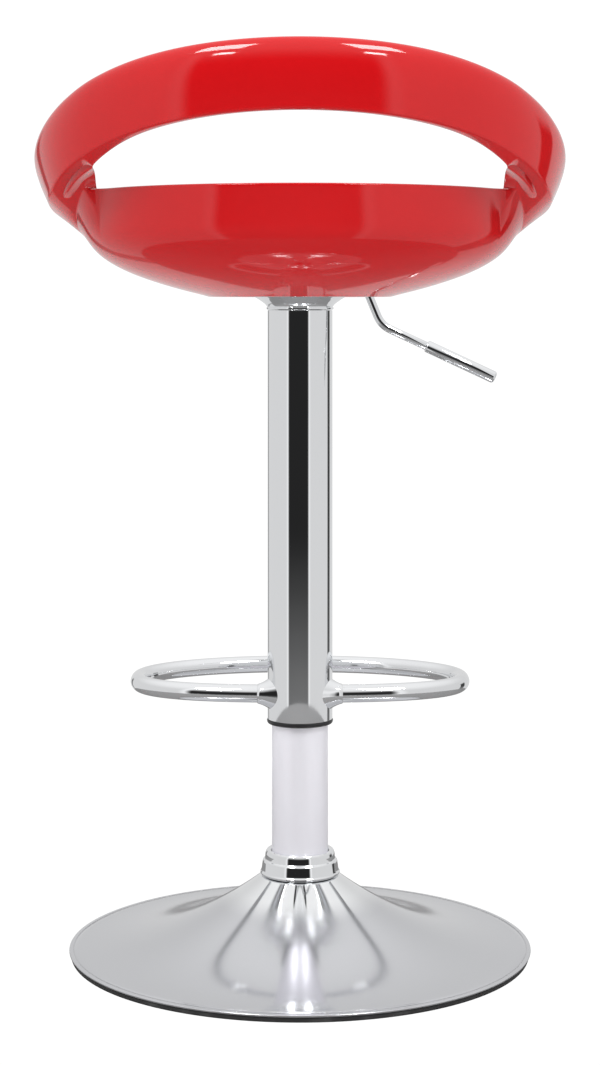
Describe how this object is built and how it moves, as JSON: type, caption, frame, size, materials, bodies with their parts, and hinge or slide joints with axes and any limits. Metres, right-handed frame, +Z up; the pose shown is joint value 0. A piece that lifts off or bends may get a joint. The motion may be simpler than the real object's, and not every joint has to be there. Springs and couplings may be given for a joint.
{
  "type": "adjustable swivel stool",
  "caption": "Height-adjustable swivel stool: moulded bucket seat with a cut-out back band, telescopic gas-lift column with a footrest hoop, trumpet base and a release lever.",
  "frame": {"origin": "centre of the base, on the floor", "axes": "+Z up the column; the sitter faces -Y; the lever is on the sitter's right, at -X"},
  "size_m": [0.4732, 0.41, 0.794],
  "materials": {
    "chrome": "bright polished chrome plate",
    "satin_chrome": "softly polished chrome plate",
    "plain_steel": "plain machined steel",
    "zinc": "zinc-plated steel",
    "black_steel": "black powder coat",
    "brass": "turned brass",
    "cast_iron": "dark cast surface",
    "rubber": "black rubber",
    "black_plastic": "black nylon",
    "red_abs": "high-gloss red moulded plastic"
  },
  "bodies": {
    "base": {"base_cover": "chrome", "floor_ring": "rubber", "ballast_disc": "cast_iron", "hub_socket": "plain_steel", "hub_flange": "plain_steel", "base_collar": "chrome", "stand_tube": "satin_chrome", "guide_bush": "black_plastic", "bearing_plate": "plain_steel", "lower_race": "plain_steel"},
    "spindle": {"ball_cage": "plain_steel", "upper_race": "plain_steel", "bump_stop": "rubber", "piston_rod": "chrome", "piston_head": "black_plastic", "rod_washer": "zinc", "rod_clip": "zinc"},
    "column": {"pressure_cylinder": "black_steel", "rod_guide": "black_plastic", "cover_tube": "chrome", "glide_ring": "black_plastic", "top_bell": "chrome", "taper_socket": "plain_steel", "head_plate": "plain_steel", "footrest_hoop": "chrome", "footrest_weld_left": "chrome", "footrest_weld_right": "chrome", "lever_housing": "plain_steel", "seat_plate": "black_steel", "lever_pin": "zinc", "seat_shell": "red_abs", "seat_pan": "red_abs", "seat_bolt_rear_left": "zinc", "seat_bolt_rear_right": "zinc", "seat_bolt_front_right": "zinc", "seat_bolt_front_left": "zinc", "washer_rear_left": "zinc", "washer_rear_right": "zinc", "washer_front_right": "zinc", "washer_front_left": "zinc", "insert_rear_left": "brass", "insert_rear_right": "brass", "insert_front_right": "brass", "insert_front_left": "brass"},
    "lever": {"lever_rod": "chrome", "lever_grip": "chrome"},
    "button": {"valve_button": "plain_steel"}
  },
  "joints": [
    {"name": "seat_swivel", "type": "hinge", "parent": "base", "child": "spindle", "pos_m": [0, 0, 0.02], "axis": [0, 0, 1], "continuous": true},
    {"name": "height_adjust", "type": "slide", "parent": "spindle", "child": "column", "axis": [0, 0, 1], "range_m": [-0.105, 0.105]},
    {"name": "lever_lift", "type": "hinge", "parent": "column", "child": "lever", "pos_m": [-0.03, 0, 0.598], "axis": [0, 1, 0], "range_deg": [0, 8], "stiffness_Nm_per_rad": 5, "springref_deg": -11.46},
    {"name": "valve_press", "type": "slide", "parent": "column", "child": "button", "axis": [0, 0, -1], "range_m": [0, 0.0045]}
  ],
  "couplings": [
    {"joint": "valve_press", "follows": "lever_lift", "m_per_rad": 0.03}
  ]
}
